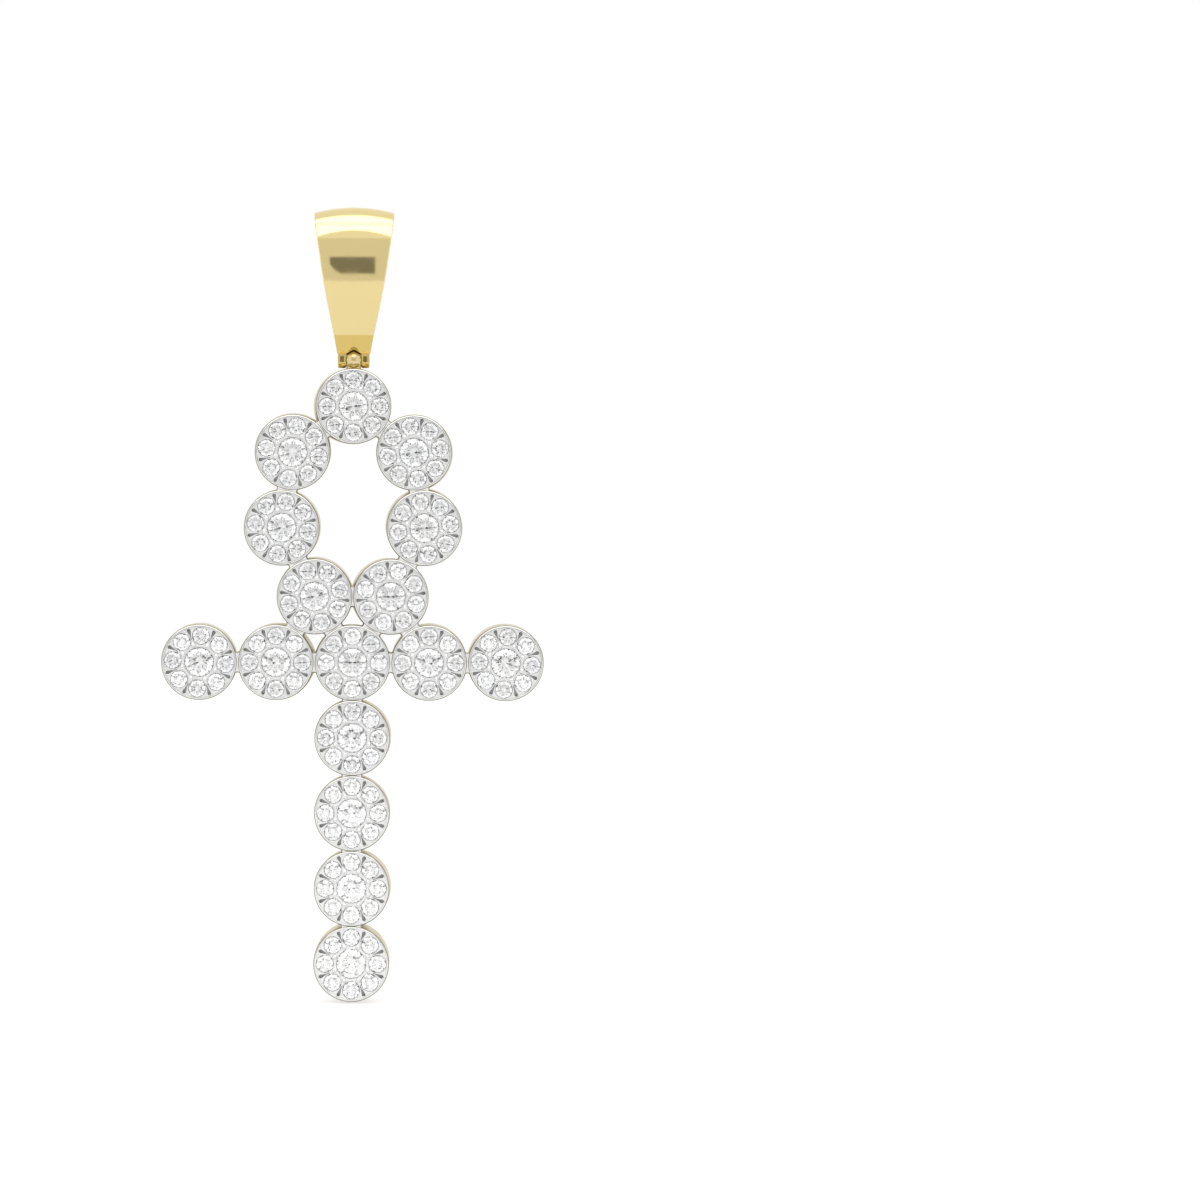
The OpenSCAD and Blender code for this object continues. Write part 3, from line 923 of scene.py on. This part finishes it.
def polish(tree, shader, low, high, scale):
    """Polishing marks: a roughness that varies softly between two values."""
    where = tree.nodes.new("ShaderNodeTexCoord")
    marks = noise_node(tree, where, scale, detail=4)
    rough = range_node(tree, marks, NOISE_SPAN, low, high, curve="LINEAR")
    tree.links.new(rough, shader.inputs["Roughness"])
    return where


def gold_material(name, tones, roughness, edge):
    """Gold between two near tones. An edge, if given, is a band of painted reflection or painted shade, as
    (axis, start, stop, colour): up to start along the axis, in millimetres, the gold has this colour, which
    has faded away at stop."""
    material, tree, shader = new_material(name)
    shader.inputs["Metallic"].default_value = 1
    where = polish(tree, shader, *roughness, GOLD_MARKS)
    colour = tone_node(tree, noise_node(tree, where, GOLD_CLOUDS), *tones)
    # Painted reflection or painted shade: a band of other gold along one axis
    if edge:
        axis, start, stop, painted_colour = edge
        place = tree.nodes.new("ShaderNodeSeparateXYZ")
        tree.links.new(where.outputs["Object"], place.inputs["Vector"])
        painted_share = range_node(tree, place.outputs[axis], (start * MM, stop * MM), 1, 0)
        mix = tree.nodes.new("ShaderNodeMix")
        mix.data_type = "RGBA"
        mix.inputs["B"].default_value = painted_colour
        tree.links.new(painted_share, mix.inputs["Factor"])
        tree.links.new(colour, mix.inputs["A"])
        colour = mix.outputs["Result"]
    tree.links.new(colour, shader.inputs["Base Color"])
    return material


def white_gold_material(name, low, high, tone, waves):
    """White plating, between two roughnesses, with its brightness and the height of its soft waves."""
    material, tree, shader = new_material(name)
    shader.inputs["Metallic"].default_value = 1
    where = polish(tree, shader, low, high, WHITE_MARKS)
    dark, light = ([share * tone for share in shares] + [1] for shares in WHITE_TONES)
    colour = tone_node(tree, noise_node(tree, where, WHITE_CLOUDS), dark, light)
    tree.links.new(colour, shader.inputs["Base Color"])
    if waves:
        bump = tree.nodes.new("ShaderNodeBump")
        bump.inputs["Distance"].default_value = waves * MM
        tree.links.new(noise_node(tree, where, 1 / (WAVE_L * MM)), bump.inputs["Height"])
        tree.links.new(bump.outputs["Normal"], shader.inputs["Normal"])
    return material


def stone_material():
    """Diamond, with a faint tint that differs from stone to stone."""
    material, tree, shader = new_material("diamond")
    set_inputs(shader, {"Transmission Weight": 1, "IOR": DIAMOND_IOR, "Roughness": 0})
    where = tree.nodes.new("ShaderNodeTexCoord")
    cells = tree.nodes.new("ShaderNodeTexVoronoi")
    cells.inputs["Scale"].default_value = 1 / (ACCENT_D * MM)
    tree.links.new(where.outputs["Object"], cells.inputs["Vector"])
    tint = tone_node(tree, cells.outputs["Color"], *DIAMOND_TINTS)
    tree.links.new(tint, shader.inputs["Base Color"])
    return material


def front_light(tree, x, z):
    """A plain wall, a lighter strip over it, and the big lamp, which has a soft seam and hangs
    lower at its sides."""
    wall = range_node(tree, z, STRIP_START, FRONT_WALL, STRIP)
    bow = math_node(tree, "MULTIPLY", math_node(tree, "POWER", x, 2), LAMP_BOW)
    lamp = range_node(tree, math_node(tree, "ADD", z, bow), LAMP_START, 0, LAMP - STRIP)
    seam_start = range_node(tree, z, SEAM_START, 1, LAMP_SEAM)
    seam_stop = range_node(tree, z, SEAM_STOP, LAMP_SEAM, 1)
    seam = math_node(tree, "MAXIMUM", seam_start, seam_stop)
    return math_node(tree, "ADD", wall, math_node(tree, "MULTIPLY", lamp, seam))


def side_light(tree, off):
    """Bright walls at both sides, each with dark flags."""
    light = SIDE_WALL
    for start, stop in SIDE_FLAGS:
        before = range_node(tree, off, (start, start + FLAG_EDGE), 1, FLAG_LIGHT)
        after = range_node(tree, off, (stop - FLAG_EDGE, stop), FLAG_LIGHT, 1)
        light = math_node(tree, "MULTIPLY", light, math_node(tree, "MAXIMUM", before, after))
    return light


def card_shade(tree, x, y, z):
    """The share of light that a dark card in front lets through."""
    off = math_node(tree, "ABSOLUTE", math_node(tree, "ADD", x, CARD_LEFT))
    wide = range_node(tree, off, CARD_SIDES, 1, 0)
    corner = math_node(tree, "MAXIMUM", math_node(tree, "SUBTRACT", CARD_CORNER, x), 0)
    bend = math_node(tree, "MULTIPLY", math_node(tree, "POWER", corner, 2), CARD_CORNER_BEND)
    foot = range_node(tree, math_node(tree, "SUBTRACT", z, bend), CARD_FOOT, 0, 1)
    tall = math_node(tree, "MULTIPLY", range_node(tree, z, CARD_TOP, 1, 0), foot)
    facing = range_node(tree, y, CARD_FACING, 1, 0)
    card = math_node(tree, "MULTIPLY", math_node(tree, "MULTIPLY", wide, tall), facing)
    return math_node(tree, "SUBTRACT", 1, math_node(tree, "MULTIPLY", card, CARD_SHADE))


def studio():
    """White studio light all round, by direction: front, back, sides and card. Its ground is plain
    white for the camera."""
    world = bpy.data.worlds.new("studio")
    bpy.context.scene.world = world
    world.use_nodes = True
    tree = world.node_tree
    tree.nodes.clear()
    where = tree.nodes.new("ShaderNodeTexCoord")
    place = tree.nodes.new("ShaderNodeSeparateXYZ")
    tree.links.new(where.outputs["Generated"], place.inputs["Vector"])
    x, y, z = (place.outputs[axis] for axis in "XYZ")
    off = math_node(tree, "ABSOLUTE", x)
    middle = blend_node(tree, front_light(tree, x, z), BACK_WALL, range_node(tree, y, BACK_START, 0, 1))
    light = blend_node(tree, middle, side_light(tree, off), range_node(tree, off, SIDE_START, 0, 1))
    lit = tree.nodes.new("ShaderNodeBackground")
    seen = tree.nodes.new("ShaderNodeBackground")
    for ground in (lit, seen):
        ground.inputs["Color"].default_value = WHITE
    tree.links.new(math_node(tree, "MULTIPLY", light, card_shade(tree, x, y, z)), lit.inputs["Strength"])
    path = tree.nodes.new("ShaderNodeLightPath")
    mix = tree.nodes.new("ShaderNodeMixShader")
    tree.links.new(path.outputs["Is Camera Ray"], mix.inputs["Fac"])
    tree.links.new(lit.outputs["Background"], mix.inputs[1])
    tree.links.new(seen.outputs["Background"], mix.inputs[2])
    out = tree.nodes.new("ShaderNodeOutputWorld")
    tree.links.new(mix.outputs["Shader"], out.inputs["Surface"])


def floor(low_z):
    """A plain pale floor just under the pendant."""
    size = FLOOR_SIZE
    corners = [(-size, FLOOR_FRONT), (size, FLOOR_FRONT), (size, size), (-size, size)]
    bm = bmesh.new()
    bm.faces.new([bm.verts.new((x, y, low_z - FLOOR_GAP)) for x, y in corners])
    material, _, shader = new_material("pale_floor")
    set_inputs(shader, {
        "Base Color": FLOOR_GREY,
        "Roughness": FLOOR_ROUGHNESS,
        "Emission Color": WHITE,
        "Emission Strength": FLOOR_GLOW,
        "Specular IOR Level": FLOOR_SPECULAR,
    })
    piece = new_object("floor", mesh_from(bm, "floor", smooth=False), [material])


def camera():
    """Straight on, far enough for the photograph's perspective, and shifted to its framing."""
    data = bpy.data.cameras.new("camera")
    piece = bpy.data.objects.new("camera", data)
    bpy.context.scene.collection.objects.link(piece)
    width_mm = FRAME_PX / PX_PER_MM
    data.sensor_width = SENSOR_MM
    data.lens = SENSOR_MM * CAMERA_DISTANCE / width_mm
    data.shift_x = (FRAME_PX / 2 - AXIS_PX[0]) / FRAME_PX
    data.shift_y = -(FRAME_PX / 2 - AXIS_PX[1]) / FRAME_PX
    data.clip_start = CLIP_START
    axis_z = BAIL_T - (AXIS_PX[1] - TOP_PX) / PX_PER_MM
    piece.location = Vector((0, RIM_Y - CAMERA_DISTANCE, axis_z)) * MM
    piece.rotation_euler = (math.radians(90), math.radians(LEAN_DEG), 0)
    bpy.context.scene.camera = piece


# Painted reflection: below the top of the bail's foot the gold turns deeper, for the light the feet and ears
# mirror from one another
gold = gold_material("polished_gold", BAIL_GOLD, BAIL_ROUGHNESS, edge=(
    "Z", HINGE_Z + FOOT_H - FOOT_REFLECTION_FADE, HINGE_Z + FOOT_H + FOOT_REFLECTION_FADE, FOOT_REFLECTION_GOLD,
))
eye_gold = gold_material("eye_gold", HINGE_GOLD, HINGE_ROUGHNESS, edge=None)
# Painted shade: the cups' gold is dark at the front by the rim and fades to its own tone further back
pale_gold = gold_material("pale_gold", CUP_GOLD, CUP_ROUGHNESS, edge=(
    "Y", RIM_Y + RIM_SHADE_FADE[0], RIM_Y + RIM_SHADE_FADE[1], RIM_SHADE_GOLD,
))
satin = white_gold_material("satin_white", *SATIN_WHITE)
polished = white_gold_material("polished_white", *POLISHED_WHITE)
cut_shade = white_gold_material("painted_cut_shade", *SHADED_CUT_WHITE)
diamond = stone_material()

camera()
studio()
floor(cad_bounds[0][2] / MM)
bail_pieces(gold)
frame_pieces([pale_gold, polished, satin, eye_gold], [satin, polished, cut_shade])
small_stones(diamond)
for name in stones:
    frame["nodes"][name].material_slots[0].material = diamond

scene = bpy.context.scene
scene.view_settings.view_transform = "Standard"
scene.cycles.use_denoising = True
scene.cycles.max_bounces = BOUNCES
scene.cycles.transmission_bounces = BOUNCES
